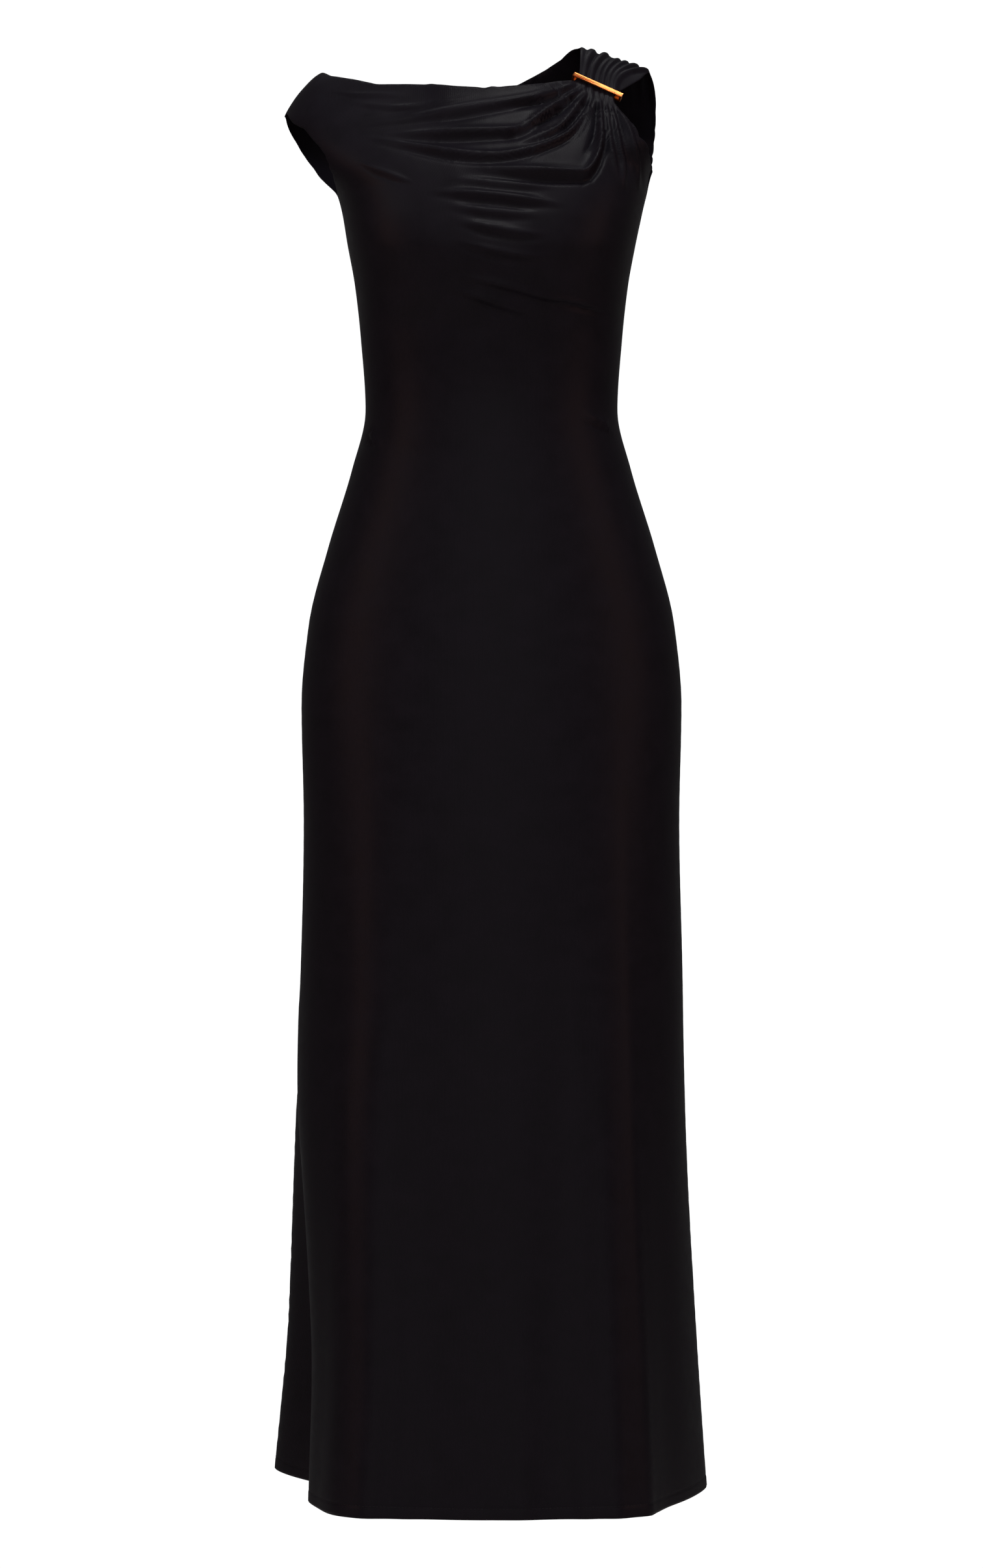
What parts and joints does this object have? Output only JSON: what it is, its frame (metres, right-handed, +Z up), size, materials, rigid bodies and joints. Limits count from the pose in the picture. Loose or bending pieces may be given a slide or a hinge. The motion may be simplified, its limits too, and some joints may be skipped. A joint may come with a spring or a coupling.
{
  "type": "maxi dress",
  "caption": "Full-length jersey dress, hollow as when worn, with a gathered shoulder strap drawn through a metal slide and an off-the-shoulder cap opposite.",
  "frame": {"origin": "at the crest of the gathered strap, level with the dress's mid-depth, where a shoulder carries it", "axes": "+Z up the dress from hem to shoulder, -Y out of its front, +X to the viewer's right, the side of the strap"},
  "size_m": [0.4232, 0.3298, 1.3953],
  "materials": {
    "front_jersey": "smooth black jersey with a soft sheen",
    "back_jersey": "smooth black jersey with a soft sheen",
    "slide_metal": "polished gold-coloured plating"
  },
  "bodies": {
    "root": {"front": "front_jersey", "back": "back_jersey", "shoulder_slide": "slide_metal"}
  },
  "joints": []
}
